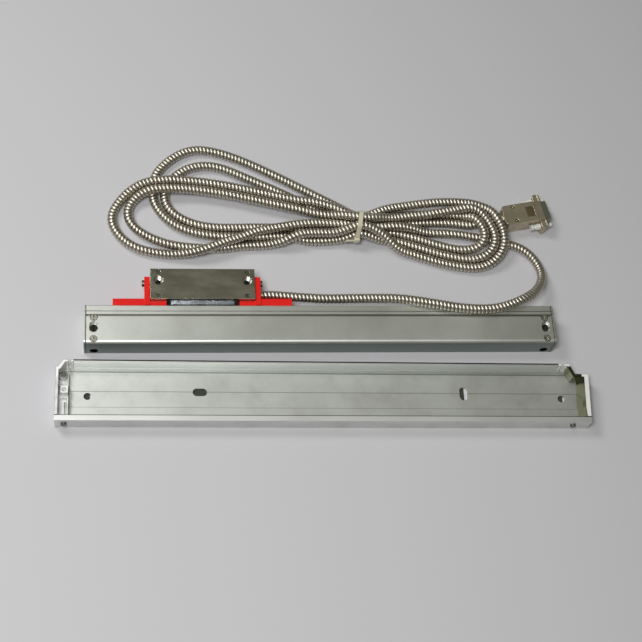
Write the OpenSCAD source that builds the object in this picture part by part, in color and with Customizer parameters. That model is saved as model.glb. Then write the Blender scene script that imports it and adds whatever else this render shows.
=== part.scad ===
// Sealed linear glass scale: scale housing, reading head on its shipping clips,
// armoured cable with a D-sub connector, and the loose cover channel.
// X runs along the scale, +Y points from the scale to the reading head, Z is up.
// The origin is the middle of the housing's flat mounting face. Millimetres.

/* [Housing] */
// Overall length of the housing with its end caps
housing_l = 392; // [360:4:600]
// Width of the housing across its wide face
housing_w = 34; // [34:0.5:38]
// Thickness of the housing
housing_t = 20; // [20:0.5:23]
// Wall of the extrusion
wall_t = 2.4; // [2.2:0.1:2.6]
// Thickness of the wall with the slot
slot_wall_t = 4; // [4:0.25:5]
// Height of the slot that the neck runs in
slot_h = 7.2; // [6.8:0.2:7.6]
// Length of each end block inside the extrusion
end_block_l = 15; // [14.5:0.5:18]
// Thickness of each end cap
end_cap_t = 1.4; // [1:0.1:2]
// Thickness of each end gasket
gasket_t = 0.6; // [0.4:0.1:1]
// Distance from the end of the housing to its mounting hole
mount_inset = 8; // [7.8:0.2:9]
// Radius of the housing's mounting holes
mount_r = 3.25; // [2.7:0.05:3.3]

/* [Scale] */
// Gap between each end of the glass and its end block
glass_end_gap = 6; // [2:0.5:12]
// Width of the glass scale
glass_w = 14; // [13.5:0.25:14.5]
// Thickness of the glass scale
glass_t = 3.5; // [3:0.25:3.75]
// Thickness of the rubber cushion around the edge of the glass
cushion_t = 0.6; // [0.4:0.1:0.8]

/* [Reading head] */
// Distance from the housing's left end to the middle of the parked head
head_park = 96.5; // [74:0.5:300]
// Length of the head
head_l = 86; // [84:1:100]
// Depth of the head, away from the housing
head_d = 27.5; // [27:0.5:32]
// Height of the head's case under its gasket
case_h = 17; // [16.5:0.5:19]
// Thickness of the head's lid
lid_t = 2.5; // [2:0.25:3]
// Gap between the housing and the head
head_gap = 5; // [4.6:0.1:5.5]
// Distance between the head's mounting holes
head_hole_span = 73; // [72:0.5:74]
// Radius of the head's mounting holes
head_hole_r = 2.25; // [1.7:0.05:2.25]
// Radius of the openings over the head's mounting holes
head_recess_r = 4; // [3.6:0.1:4]

/* [Carriage] */
// Length of the reading carriage
carriage_l = 56; // [54:1:70]
// Radius of the carriage's rollers
roller_r = 2.5; // [2.2:0.1:2.5]
// Width of the carriage's rollers
roller_w = 2; // [1.6:0.1:2.2]
// Radius of the rollers' pins
pin_r = 0.7; // [0.6:0.05:0.8]

/* [Shipping clips] */
// Length of each clip's foot along the housing
clip_foot_l = 43.5; // [38:0.5:48]
// Thickness of each clip's arm along the head's end
clip_arm_t = 4.5; // [4:0.25:5]
// Reach of each clip's arm from the housing
clip_arm_d = 26; // [25:0.5:27]

/* [Cover] */
// Length of the cover channel
cover_l = 436; // [430:2:600]
// Width of the cover channel
cover_w = 52; // [50:0.5:58]
// Height of the cover channel
cover_h = 15; // [14:0.5:18]
// Thickness of the cover's floor and walls
cover_t = 2; // [1.6:0.1:2.4]
// Width of the lip along the cover's near wall
cover_lip_w = 4.8; // [4:0.2:6]
// Radius of the round holes in the cover's floor
cover_hole_r = 3; // [2.7:0.1:3.3]
// Length of the slots in the cover's floor
cover_slot_l = 11.6; // [9:0.2:14]
// Width of the slots in the cover's floor
cover_slot_w = 6.6; // [5:0.2:7]
// Distance of the far wall's ends from the cover's ends
cover_wall_inset = 13.8; // [13:0.2:15]

/* [Cable and connector] */
// Diameter of the armoured cable
cable_d = 8; // [7.5:0.1:8]
// Radius of the cable gland
gland_r = 5; // [4.6:0.1:5]
// Length of the connector's hood
hood_l = 31; // [30:1:40]
// Width of the connector's hood
hood_w = 18.8; // [17.6:0.2:18.8]
// Thickness of the connector's hood
hood_t = 15; // [14.4:0.2:15.4]
// Distance between the connector's thumb screws
jack_span = 25; // [25:0.05:25.2]

/* [Hidden] */
$fn = 48;
eps = 0.01;
cut_over = 1;
run_clear = 0.05;
seat_clear = 0.1;
body_clear = 0.35;

// Housing
half_l = housing_l/2;
half_w = housing_w/2;
extrusion_l = housing_l - 2*(end_cap_t + gasket_t);
chamber_y0 = -half_w + wall_t;
chamber_y1 = half_w - slot_wall_t;
chamber_z0 = wall_t;
chamber_z1 = housing_t - wall_t;
slot_z = housing_t/2;
near_corner_r = 3;
far_corner_r = 0.8;
mount_x = half_l - mount_inset;
head_x = -half_l + head_park;
plug_x0 = half_l - end_cap_t - gasket_t - end_block_l;
mount_y = -2.5;
mount_cut_w = 7;
mount_cut_l = 10;
mount_cut_r = mount_cut_w/2;
end_screw_y = [6, -13];
end_screw_r = 1.25;
end_screw_l = 9;
end_screw_head_r = 3.1;
end_screw_head_t = 1.6;
air_hole_r = 3.3;
air_bore_r = 2.5;
air_hole_z = 5.4;
air_bore_l = 8;
groove_y = 6.4;
groove_w = 2.4;
groove_depth = 0.9;
line_y = 11.5;
line_w = 0.5;
line_depth = 0.4;

// Seal lips: a base held in grooves beside the slot, and a blade that closes the slot
lip_groove_y0 = half_w - slot_wall_t + 0.7;
lip_groove_w = 2.6;
lip_groove_h = 1;
lip_gap = 2.3;
lip_base_t = 0.5;
lip_blade_t = 0.8;
inner_l = 2*plug_x0;
lip_l = inner_l - 2*seat_clear;

// Glass scale between two ribs of the extrusion, seated in the cushion
glass_l = inner_l - 2*glass_end_gap;
rib_l = 3.6;
rib_t = 1.2;
glass_y0 = chamber_y0 + cushion_t;
glass_y1 = glass_y0 + glass_w;
glass_z0 = slot_z - 2.5;
glass_z1 = glass_z0 + glass_t;

// Carriage around the glass
roller_gap = 0.15;
roller_bore_r = pin_r + run_clear;
face_roller_z = glass_z1 + roller_gap + roller_r;
edge_roller_y = glass_y1 + roller_gap + roller_r;
edge_roller_z = glass_z0 + glass_t/2;
face_rollers = [[-23, -9], [23, -9], [15.5, -3.2]];
edge_roller_x = [-18, 18];
roller_pocket_clear = 0.5;
carriage_y0 = -10.4;
carriage_y1 = chamber_y1 - 3;
carriage_spine_y = edge_roller_y + roller_r + roller_pocket_clear;
carriage_z0 = chamber_z0 + 1.4;
carriage_z1 = chamber_z1 - 0.7;
upper_arm_z = glass_z1 + 0.9;
lower_arm_z = glass_z0 - 1.2;
pin_l = roller_w + 4*roller_pocket_clear + 1;
reticle = [16, 7, 1.1];
reticle_y = -5.6;
reticle_seat = 0.5;
window = [10, 4];
reader = [19.6, 11, 1];
reader_pocket_h = 1.4;
lamp = [14, 7, 0.5];
lens_r = 2.2;
lens_t = 0.35;

// Coupling plate and neck
coupling_t = 1.2;
coupling_w = 28;
coupling_h = 6;
coupling_y1 = carriage_y1 + coupling_t;
neck_w = 40;
neck_t = 1.6;
neck_bow = 8;
neck_flange_w = 52;
neck_flange_h = 9;
neck_flange_t = 1.6;
lead_w = 6;
lead_t = 0.3;

// Head case
head_y0 = half_w + head_gap;
head_y1 = head_y0 + head_d;
head_z0 = 2;
case_z1 = head_z0 + case_h;
head_gasket_t = 0.5;
lid_z0 = case_z1 + head_gasket_t;
head_top = lid_z0 + lid_t;
case_wall = 3;
cavity_l = 58;
head_hole_y = head_y0 + 16.9;
head_recess_depth = 1.5;
lid_screw_span_x = head_hole_span;
lid_screw_y = [head_y0 + 3, head_y1 - 3];
lid_screw_r = 1.1;
lid_screw_head_r = 2.1;
lid_screw_head_t = 1.3;
lid_screw_l = 7;
board_w = 54;
board_d = 20;
board_t = 1.6;
board_z = head_z0 + case_wall + 2.5;
board_y0 = head_y0 + case_wall + 0.6;
board_screw_x = [-24, 24];
board_screw_inset = 2.4;
board_screw_r = 0.8;
board_screw_l = 3;
board_screw_head_r = 1.7;
board_screw_head_t = 1.2;
board_post_r = 2.2;
// place on the board and size of each chip, and of the cable's header
board_chips = [[[-17, 6], [10, 8, 1.5]], [[6, 7], [7, 6, 1.5]], [[-5, 15], [12, 4, 4]]];
lead_socket_w = 10;
lead_socket_d = 4;
lead_socket_wall = 0.8;

// Shipping clips
clip_gap = 0.3;
clip_foot_t = head_gap - 2*clip_gap;
clip_free_t = 6.2;
clip_z0 = 5;
clip_z1 = 18.8;
clip_arm_z1 = 20;
clip_inner = 13;
clip_tongue_inset = 1;
clip_tongue_l = 12;
clip_tongue_t = 1.4;
clip_tongue_y = half_w - 2.6;
clip_screw_y = head_y0 + 17.5;
clip_screw_z = 14.5;
clip_screw_r = 1.45;
clip_screw_depth = 3.6;
clip_screw_head_r = 2.75;
clip_screw_head_t = 2;

// Cable outlet and gland
cable_r = cable_d/2;
outlet_inset = 8.5;
cable_y = head_y0 + outlet_inset;
cable_z = head_z0 + 9;
gland_l = clip_arm_t + clip_gap + 2*body_clear;
gland_spigot_r = 3.1;
outlet_r = gland_spigot_r + seat_clear;
cable_x0 = head_x + head_l/2 + gland_l;

// Cable: its free stretch from the gland over the housing's edge to the coil
cable_low = cable_r + 0.1;
cable_on_top = housing_t + cable_r + 0.4;
cable_route = [
    [cable_x0, cable_y, cable_z], [cable_x0 + 11, cable_y, cable_z], [-20, 28.5, 12],
    [2, 26.5, 13.5], [23, 25.5, 16], [44, 24.5, 18.5], [62, 23, 21], [78, 20, 23.3],
    [95, 16.5, cable_on_top], [112, 13.5, cable_on_top], [128, 12, cable_on_top],
    [144, 12.5, cable_on_top], [158, 16, cable_on_top], [171, 22, 23.5], [182, 30, 19.5],
    [190, 40, 14], [194.5, 51, 8.5], [194.5, 61.5, 5], [190.5, 71, cable_low],
    [183.5, 78.5, cable_low], [175, 83, cable_low], [166, 85.5, cable_low]];
cable_sides = 12;
cable_end = cable_route[len(cable_route) - 1];
cable_end_dir = cable_end - cable_route[len(cable_route) - 2];
cable_end_turn = atan2(cable_end_dir.y, cable_end_dir.x);

// Coil of the cable, tied in the middle
coil_h = 16.5;
coil_hump = 18;
coil_cut = [20, 13, 30];
coil_z0 = 0.1;
coil_waist = [39, 100.2, 14.9];
coil_left = [[-133, 112, 45], [-94, 138, 43]];
coil_right = [[133, 92, 35.5]];
tie_x = 36.5;
tie_w = 5;
tie_t = 1.1;
tie_clear = 0.15;
tie_inner = [85.6, 114.8, 1.25, 24];
tie_head = [tie_w, 5, 5];
tie_head_z = 8;
tie_tail = [8, 1.2, 2.5];

// Connector, in its own frame: U along it, from the cable's entry, W up
plug_pos = [166, 107.3, 0];
plug_turn = 11;
plug_z0 = 0.3;
plug_mid = plug_z0 + hood_t/2;
ear_l = 6;
ear_w = 33;
ear_back = 1.3;
ear_drop = 2.4;
ear_corner_r = 1.8;
ear_u0 = hood_l + ear_back;
hood_corner_r = 3;
hood_wall = 2;
jack_r = 1.5;
jack_hole_r = jack_r + 0.2;
// radius and length of the thumb screw's knob, neck and collar
jack_knob = [2.75, 4.2];
jack_neck = [1.8, 2.3];
jack_collar = [2.6, 2.2];
jack_tip = 5;
flange_t = 1;
flange_w = 30.8;
flange_h = 12.5;
shell_l = 6;
shell_w = 18.4;
shell_narrow = 2.6;
shell_h = 9.2;
shell_wall = 0.6;
entry_r = cable_r + 0.6;
entry_l = 4;
contact_pitch = 2.77;
contact_row = 1.42;
contact_r = 0.55;
hood_screw_u = 10.5;
hood_screw_v = 7;
hood_screw_r = 1;
hood_screw_head_r = 1.7;
hood_screw_head_t = 1.7;
hood_recess_t = 2.2;
hood_bay_u = 15.5;
hood_bay_v = 4.8;
ear_step = 0.7;
panel = [7.5, 10, 0.8];
panel_u = 21.5;
spigot_r = entry_r - 1.3;
insulator_l = 11;
cup_l = 3;
cup_r = contact_r + 0.3;

// Cover channel, in its own frame: from its near left bottom corner
cover_pos = [-218.2, -80.6, 0];
cover_turn = -0.8;
cover_hole_v = 25.5;
cover_slot_v = 29.6;
cover_hole_u = [25, cover_l - 19.7];
cover_slot_u = [114.7, cover_l - 103];
cover_step_w = [14, 3.4];
cover_step_h = 0.8;
cover_line = 0.5;
cover_line_depth = 0.3;
lip_t = cover_t - 0.4;
base_z = cover_t + cover_step_h;
// foot of the slant on the end wall, place of its head on the far wall, start of that wall
corner_left = [[1.6, cover_w - 6], 5.6, cover_wall_inset];
corner_right = [[9.3, cover_w - 9.3], 13.4, cover_wall_inset + 8.7];
near_screw_u = [7.4, cover_l - 14.4];
near_screw_z = 7.5;
near_screw_r = 1.3;
near_screw_head_r = 2.4;
near_screw_head_t = 1.4;
near_block_l = [14, 17];
near_block_h = 12;
end_wall_t = 2.4;
slant_t = 1.9;
bracket_v0 = cover_lip_w + seat_clear;
bracket_l = 10.4;
bracket_floor_t = 1.6;
bracket_rib_t = 1.2;
bracket_rib_h = 5.4;
cell_v = 21.3;
drain_w = 1.4;
drain_u = bracket_l - bracket_rib_t - drain_w - 0.6;
drain_inset = 2;
boss = [6.9, 28.4];
boss_side = 6.4;
rim_t = 3.9;
slope_l = 7.6;
slope_turn = 3.4;
lug_slit = [3.2, 5.6];
boss_hole_r = 1.6;
post = [5.9, corner_left[0].y - 5.4];
post_r = 2.9;
post_h = 7;
slope_foot_h = 0.8;

alu = [0.72, 0.73, 0.72];
plated = [0.86, 0.87, 0.86];
chrome = [0.52, 0.52, 0.47];
steel = [0.62, 0.62, 0.6];
dark = [0.12, 0.12, 0.12];
red = [0.82, 0.1, 0.1];
board_green = [0.05, 0.3, 0.18];
armour = [0.55, 0.53, 0.45];
cream = [0.82, 0.8, 0.68];

// ---- shapes used by several sub-parts ----

// Runs a Y-Z section along X, centred on x = 0
module along_x(l) {
    translate([-l/2, 0, 0]) rotate([90, 0, 90]) linear_extrude(l) children();
}

module cyl_x(r, l) {
    rotate([0, 90, 0]) cylinder(r = r, h = l);
}

module cyl_y(r, l) {
    rotate([-90, 0, 0]) cylinder(r = r, h = l);
}

// The waste outside a rounded corner at the origin of the first quadrant
module corner_waste(r) {
    difference() {
        translate([-1, -1]) square(r + 1);
        translate([r, r]) circle(r = r);
    }
}

module block(lo, hi) {
    translate(lo) cube(hi - lo);
}

// A countersunk screw that points down from z = 0
module flat_screw(r, l, head_r, head_t) {
    translate([0, 0, -l]) cylinder(r = r, h = l);
    translate([0, 0, -head_t]) cylinder(r1 = r, r2 = head_r, h = head_t);
}

// Cross recess in the top of a screw's head at z = 0
module cross_recess(head_r) {
    for (a = [0, 90]) rotate([0, 0, a])
        translate([-head_r*0.65, -head_r*0.17, -head_r*0.35])
            cube([head_r*1.3, head_r*0.34, head_r]);
}

module slot_hole(l, w, h) {
    for (s = [-1, 1]) translate([s*(l - w)/2, 0, 0]) cylinder(d = w, h = h);
    translate([-(l - w)/2, -w/2, 0]) cube([l - w, w, h]);
}

// ---- housing ----

module housing_outline() {
    difference() {
        translate([-half_w, 0]) square([housing_w, housing_t]);
        translate([-half_w, housing_t]) mirror([0, 1]) corner_waste(near_corner_r);
        translate([-half_w, 0]) corner_waste(far_corner_r);
        translate([half_w, housing_t]) mirror([1, 0]) mirror([0, 1]) corner_waste(far_corner_r);
        translate([half_w, 0]) mirror([1, 0]) corner_waste(far_corner_r);
        translate([groove_y, housing_t - groove_depth]) square([groove_w, cut_over]);
        translate([line_y, housing_t - line_depth]) square([line_w, cut_over]);
    }
}

module chamber_outline() {
    translate([chamber_y0, chamber_z0])
        square([chamber_y1 - chamber_y0, chamber_z1 - chamber_z0]);
}

module slot_outline() {
    translate([chamber_y1 - cut_over, slot_z - slot_h/2])
        square([slot_wall_t + 2*cut_over, slot_h]);
    translate([lip_groove_y0, slot_z - slot_h/2 - lip_groove_h])
        square([lip_groove_w, slot_h + 2*lip_groove_h]);
}

module rib_outline() {
    for (z = [glass_z0 - cushion_t - rib_t, glass_z1 + cushion_t])
        translate([chamber_y0 - eps, z]) square([rib_l, rib_t]);
}

module end_screw_places() {
    for (side = [-1, 1], y = end_screw_y)
        translate([side*mount_x, y, housing_t]) children();
}

module housing_extrusion() {
    color(alu) difference() {
        along_x(extrusion_l) {
            difference() {
                housing_outline();
                chamber_outline();
                slot_outline();
            }
            rib_outline();
        }
        for (m = [0, 1]) mirror([m, 0, 0]) {
            translate([mount_x, mount_y, chamber_z1 - cut_over]) rotate([0, 0, 90])
                slot_hole(mount_cut_l, mount_cut_w, wall_t + 2*cut_over);
            translate([mount_x, mount_y, -cut_over])
                cylinder(r = mount_cut_r, h = wall_t + 2*cut_over);
            translate([mount_x, -half_w - cut_over, air_hole_z])
                cyl_y(air_hole_r, wall_t + 2*cut_over);
            // room for the end block where the ribs would be
            block([plug_x0, chamber_y0, chamber_z0],
                [half_l, chamber_y0 + rib_l + cut_over, chamber_z1]);
        }
        end_screw_places() flat_screw(end_screw_r, end_screw_l, end_screw_head_r,
            end_screw_head_t);
    }
}

// Plug inside the extrusion and cap outside it, at the right-hand end
module end_block_right_shape() {
    plug_x1 = half_l - end_cap_t;
    difference() {
        union() {
            translate([half_l - end_cap_t/2, 0, 0]) along_x(end_cap_t) housing_outline();
            block([plug_x0, chamber_y0 + seat_clear, chamber_z0 + seat_clear],
                [plug_x1 + eps, chamber_y1 - seat_clear, chamber_z1 - seat_clear]);
        }
        translate([mount_x, mount_y, 0]) cylinder(r = mount_r, h = housing_t);
        translate([mount_x, chamber_y0, air_hole_z]) cyl_y(air_bore_r, air_bore_l);
        for (y = end_screw_y) translate([mount_x, y, housing_t - end_screw_l])
            cylinder(r = end_screw_r, h = end_screw_l);
    }
}

module end_block_right() {
    color(alu) end_block_right_shape();
}

module end_block_left() {
    color(alu) mirror([1, 0, 0]) end_block_right_shape();
}

module end_gasket_right_shape() {
    difference() {
        translate([half_l - end_cap_t - gasket_t/2, 0, 0])
            along_x(gasket_t) housing_outline();
        block([plug_x0, chamber_y0 + seat_clear, chamber_z0 + seat_clear],
            [half_l, chamber_y1 - seat_clear, chamber_z1 - seat_clear]);
    }
}

module end_gasket_right() {
    color(dark) end_gasket_right_shape();
}

module end_gasket_left() {
    color(dark) mirror([1, 0, 0]) end_gasket_right_shape();
}

module end_block_screws() {
    color(steel) end_screw_places() difference() {
        flat_screw(end_screw_r, end_screw_l, end_screw_head_r, end_screw_head_t);
        cross_recess(end_screw_head_r);
    }
}

module seal_lip_outline() {
    base_z = slot_h/2 - lip_base_t;
    blade_y0 = lip_groove_y0 + 4*seat_clear;
    tip_y1 = half_w - 4*seat_clear;
    translate([lip_groove_y0 + seat_clear, base_z])
        square([lip_groove_w - 2*seat_clear, lip_groove_h + lip_base_t - seat_clear]);
    polygon([[blade_y0, base_z], [blade_y0 + lip_blade_t, base_z],
        [tip_y1, lip_gap/2], [tip_y1 - lip_blade_t, lip_gap/2]]);
}

module seal_lip_upper() {
    color(dark) translate([0, 0, slot_z]) along_x(lip_l) seal_lip_outline();
}

module seal_lip_lower() {
    color(dark) translate([0, 0, slot_z]) mirror([0, 0, 1]) along_x(lip_l) seal_lip_outline();
}

// ---- scale ----

module glass_scale() {
    color([0.6, 0.8, 0.75]) block([-glass_l/2, glass_y0, glass_z0],
        [glass_l/2, glass_y1, glass_z1]);
}

module glass_cushion() {
    color(dark) along_x(glass_l) difference() {
        translate([chamber_y0, glass_z0 - cushion_t])
            square([rib_l, glass_t + 2*cushion_t]);
        translate([glass_y0, glass_z0]) square([glass_w, glass_t]);
    }
}

// ---- carriage: all of it is placed from the head's middle ----

module at_head() {
    translate([head_x, 0, 0]) children();
}

module carriage_frame() {
    pocket_w = 2*(roller_r + roller_pocket_clear);
    pocket_d = roller_w + 2*roller_pocket_clear;
    color(steel) at_head() difference() {
        union() {
            block([-carriage_l/2, carriage_spine_y, carriage_z0],
                [carriage_l/2, carriage_y1, carriage_z1]);
            block([-carriage_l/2, carriage_y0, upper_arm_z],
                [carriage_l/2, carriage_spine_y + eps, carriage_z1]);
            block([-carriage_l/2, carriage_y0, carriage_z0],
                [carriage_l/2, carriage_spine_y + eps, lower_arm_z]);
        }
        for (p = face_rollers) {
            translate([p.x - pocket_w/2, p.y - pocket_d/2, upper_arm_z - cut_over])
                cube([pocket_w, pocket_d, carriage_z1]);
            translate([p.x, p.y - pin_l/2, face_roller_z]) cyl_y(pin_r, pin_l);
        }
        edge_pins();
        translate([-reticle.x/2, reticle_y - reticle.y/2, upper_arm_z - cut_over])
            cube([reticle.x, reticle.y, cut_over + reticle_seat]);
        translate([-window.x/2, reticle_y - window.y/2, upper_arm_z - cut_over])
            cube([window.x, window.y, carriage_z1]);
        translate([-reader.x/2 - seat_clear, carriage_y0 - cut_over, carriage_z1 - reader_pocket_h])
            cube([reader.x + 2*seat_clear, reader.y + 1.4, carriage_z1]);
    }
}

// Upright pins, sunk into the carriage's lower and upper arms
module edge_pins() {
    pin_seat = 1;
    for (x = edge_roller_x) translate([x, edge_roller_y, lower_arm_z - pin_seat])
        cylinder(r = pin_r, h = upper_arm_z - lower_arm_z + 2*pin_seat);
}

module roller_pins() {
    color(steel) at_head() {
        for (p = face_rollers) translate([p.x, p.y - pin_l/2, face_roller_z])
            cyl_y(pin_r, pin_l);
        edge_pins();
    }
}

module roller_shape() {
    difference() {
        cylinder(r = roller_r, h = roller_w, center = true);
        cylinder(r = roller_bore_r, h = roller_w + 1, center = true);
    }
}

module face_roller(p) {
    color(plated) at_head() translate([p.x, p.y, face_roller_z])
        rotate([90, 0, 0]) roller_shape();
}

module edge_roller(x) {
    color(plated) at_head() translate([x, edge_roller_y, edge_roller_z]) roller_shape();
}

module face_roller_left() {
    face_roller(face_rollers[0]);
}

module face_roller_right() {
    face_roller(face_rollers[1]);
}

module face_roller_middle() {
    face_roller(face_rollers[2]);
}

module edge_roller_left() {
    edge_roller(edge_roller_x[0]);
}

module edge_roller_right() {
    edge_roller(edge_roller_x[1]);
}

module index_reticle() {
    color([0.6, 0.8, 0.75]) at_head()
        translate([-reticle.x/2, reticle_y - reticle.y/2, upper_arm_z + reticle_seat - reticle.z])
            cube(reticle);
}

module lamp_module() {
    color(dark) at_head() {
        translate([-lamp.x/2, reticle_y - lamp.y/2, lower_arm_z]) cube(lamp);
        translate([0, reticle_y, lower_arm_z + lamp.z]) cylinder(r = lens_r, h = lens_t);
    }
}

module reader_board() {
    color(board_green) at_head()
        translate([-reader.x/2, carriage_y0 + 3*seat_clear, carriage_z1 - reader_pocket_h])
            cube(reader);
}

module coupling_plate() {
    color(steel) at_head() difference() {
        block([-coupling_w/2, carriage_y1, slot_z - coupling_h/2],
            [coupling_w/2, coupling_y1, slot_z + coupling_h/2]);
        lead_strip(carriage_y1 - cut_over, coupling_y1 + cut_over);
    }
}

// The flat lead's space, from one Y to another
module lead_strip(y0, y1) {
    translate([-lead_w/2, y0, slot_z + neck_t/2 - lead_t]) cube([lead_w, y1 - y0, lead_t]);
}

// Thin blade with a pointed bow and stern, so that the lips close around it
module neck_blade() {
    root_w = neck_w/2 - neck_bow;
    bow_y = half_w - 2;
    flange_y = head_y0 - neck_flange_t;
    color(chrome) at_head() difference() {
        union() {
            translate([0, 0, slot_z - neck_t/2]) linear_extrude(neck_t)
                polygon([[-root_w, coupling_y1], [root_w, coupling_y1],
                    [neck_w/2, bow_y], [neck_w/2, flange_y],
                    [-neck_w/2, flange_y], [-neck_w/2, bow_y]]);
            block([-neck_flange_w/2, flange_y, slot_z - neck_flange_h/2],
                [neck_flange_w/2, head_y0, slot_z + neck_flange_h/2]);
        }
        lead_strip(coupling_y1 - cut_over, head_y0 + cut_over);
    }
}

module signal_lead() {
    color([0.7, 0.45, 0.15]) at_head() lead_strip(carriage_y1, board_y0);
}

// ---- head ----

module head_hole_places(z) {
    for (side = [-1, 1]) translate([side*head_hole_span/2, head_hole_y, z]) children();
}

module lid_screw_places(z) {
    for (side = [-1, 1], y = lid_screw_y)
        translate([side*lid_screw_span_x/2, y, z]) children();
}

module board_screw_places() {
    for (x = board_screw_x, s = [0, 1])
        translate([x, board_y0 + board_screw_inset + s*(board_d - 2*board_screw_inset), 0])
            children();
}

module head_case() {
    cavity_z0 = head_z0 + case_wall;
    color(chrome) at_head() difference() {
        union() {
            difference() {
                block([-head_l/2, head_y0, head_z0], [head_l/2, head_y1, case_z1]);
                block([-cavity_l/2, head_y0 + case_wall, cavity_z0],
                    [cavity_l/2, head_y1 - case_wall, case_z1 + 1]);
            }
            board_screw_places() translate([0, 0, cavity_z0 - eps])
                cylinder(r = board_post_r, h = board_z - cavity_z0 + eps);
        }
        head_hole_places(0) cylinder(r = head_hole_r, h = case_z1 + cut_over);
        head_hole_places(case_z1 - head_recess_depth)
            cylinder(r = head_recess_r, h = head_recess_depth + cut_over);
        lid_screw_places(head_top - lid_screw_l) cylinder(r = lid_screw_r, h = lid_screw_l);
        board_screw_places() translate([0, 0, board_z - board_screw_l])
            cylinder(r = board_screw_r, h = board_screw_l + cut_over);
        translate([cavity_l/2 - cut_over, cable_y, cable_z]) cyl_x(outlet_r, head_l/2);
        for (m = [0, 1]) mirror([m, 0, 0])
            translate([head_l/2 - clip_screw_depth, clip_screw_y, clip_screw_z])
                cyl_x(clip_screw_r, clip_screw_depth + cut_over);
        // window for the flat lead
        block([-lead_w/2 - 2*seat_clear, head_y0 - cut_over, slot_z + neck_t/2 - lead_t - 2*seat_clear],
            [lead_w/2 + 2*seat_clear, board_y0, slot_z + neck_t/2 + 2*seat_clear]);
    }
}

module head_gasket() {
    color(dark) at_head() difference() {
        block([-head_l/2, head_y0, case_z1], [head_l/2, head_y1, lid_z0]);
        block([-cavity_l/2, head_y0 + case_wall, case_z1 - cut_over],
            [cavity_l/2, head_y1 - case_wall, lid_z0 + cut_over]);
        head_hole_places(case_z1 - cut_over)
            cylinder(r = head_recess_r, h = head_gasket_t + 2*cut_over);
        lid_screw_places(case_z1 - cut_over)
            cylinder(r = lid_screw_r, h = head_gasket_t + 2*cut_over);
    }
}

module head_lid() {
    color(chrome) at_head() difference() {
        block([-head_l/2, head_y0, lid_z0], [head_l/2, head_y1, head_top]);
        head_hole_places(lid_z0 - cut_over)
            cylinder(r = head_recess_r, h = lid_t + 2*cut_over);
        lid_screw_places(head_top)
            flat_screw(lid_screw_r, lid_screw_l, lid_screw_head_r, lid_screw_head_t);
    }
}

module head_lid_screws() {
    color(steel) at_head() lid_screw_places(head_top) difference() {
        flat_screw(lid_screw_r, lid_screw_l, lid_screw_head_r, lid_screw_head_t);
        cross_recess(lid_screw_head_r);
    }
}

module signal_board() {
    color(board_green) at_head() difference() {
        union() {
            block([-board_w/2, board_y0, board_z],
                [board_w/2, board_y0 + board_d, board_z + board_t]);
            chip_z = board_z + board_t - eps;
            for (chip = board_chips) translate([chip[0].x, board_y0 + chip[0].y, chip_z])
                cube(chip[1]);
            // socket of the flat lead
            socket_top = slot_z + neck_t/2 + lead_socket_wall;
            block([-lead_socket_w/2, board_y0, chip_z],
                [lead_socket_w/2, board_y0 + lead_socket_d, socket_top]);
        }
        board_screw_places() cylinder(r = board_screw_r, h = head_top);
    }
}

module signal_board_screws() {
    color(steel) at_head() board_screw_places() {
        translate([0, 0, board_z - board_screw_l])
            cylinder(r = board_screw_r, h = board_screw_l + board_t);
        translate([0, 0, board_z + board_t])
            cylinder(r = board_screw_head_r, h = board_screw_head_t);
    }
}

// ---- shipping clips ----

// The right-hand clip, placed from the head's middle
module clip_shape(arm_d) {
    arm_x0 = head_l/2 + clip_gap;
    arm_x1 = arm_x0 + clip_arm_t;
    foot_x0 = head_l/2 - clip_inner;
    foot_x1 = foot_x0 + clip_foot_l;
    foot_y0 = half_w + clip_gap;
    tongue_x0 = foot_x0 + clip_tongue_inset;
    difference() {
        union() {
            block([foot_x0, foot_y0, clip_z0], [foot_x1, foot_y0 + clip_foot_t, clip_z1]);
            block([arm_x0, foot_y0, clip_z0], [foot_x1, foot_y0 + clip_free_t, clip_z1]);
            block([arm_x0, foot_y0, clip_z0], [arm_x1, half_w + arm_d, clip_arm_z1]);
            block([tongue_x0, clip_tongue_y, slot_z - clip_tongue_t/2],
                [tongue_x0 + clip_tongue_l, foot_y0 + eps, slot_z + clip_tongue_t/2]);
        }
        translate([arm_x0 - cut_over, clip_screw_y, clip_screw_z])
            cyl_x(clip_screw_r, clip_arm_t + 2*cut_over);
    }
}

module clip_left() {
    color(red) at_head() mirror([1, 0, 0]) clip_shape(clip_arm_d);
}

module clip_right() {
    notch_r = gland_r + body_clear;
    color(red) at_head() difference() {
        clip_shape(clip_arm_d);
        translate([head_l/2, cable_y, cable_z]) cyl_x(notch_r, clip_arm_t + 2*cut_over);
        translate([head_l/2, cable_y - notch_r, 0])
            cube([clip_arm_t + 2*cut_over, 2*notch_r, cable_z]);
    }
}

module clip_screws() {
    head_x0 = head_l/2 + clip_gap + clip_arm_t;
    color(steel) at_head() for (side = [0, 1]) mirror([side, 0, 0])
        translate([0, clip_screw_y, clip_screw_z]) {
            translate([head_l/2 - clip_screw_depth, 0, 0])
                cyl_x(clip_screw_r, head_x0 - head_l/2 + clip_screw_depth + eps);
            translate([head_x0, 0, 0]) difference() {
                cyl_x(clip_screw_head_r, clip_screw_head_t);
                translate([clip_screw_head_t, 0, 0]) rotate([0, 90, 0])
                    cross_recess(clip_screw_head_r);
            }
        }
}

// ---- cable ----

module cable_gland() {
    spigot_l = (head_l - cavity_l)/2 + 2;
    color(plated) at_head() translate([head_l/2, cable_y, cable_z]) {
        cyl_x(gland_r, gland_l);
        translate([-spigot_l, 0, 0]) cyl_x(gland_spigot_r, spigot_l + eps);
    }
}

function unit(v) = v/norm(v);

// Direction of the route at point i: along the chord between its neighbours
function route_dir(pts, i) =
    unit(pts[min(i + 1, len(pts) - 1)] - pts[max(i - 1, 0)]);

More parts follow.
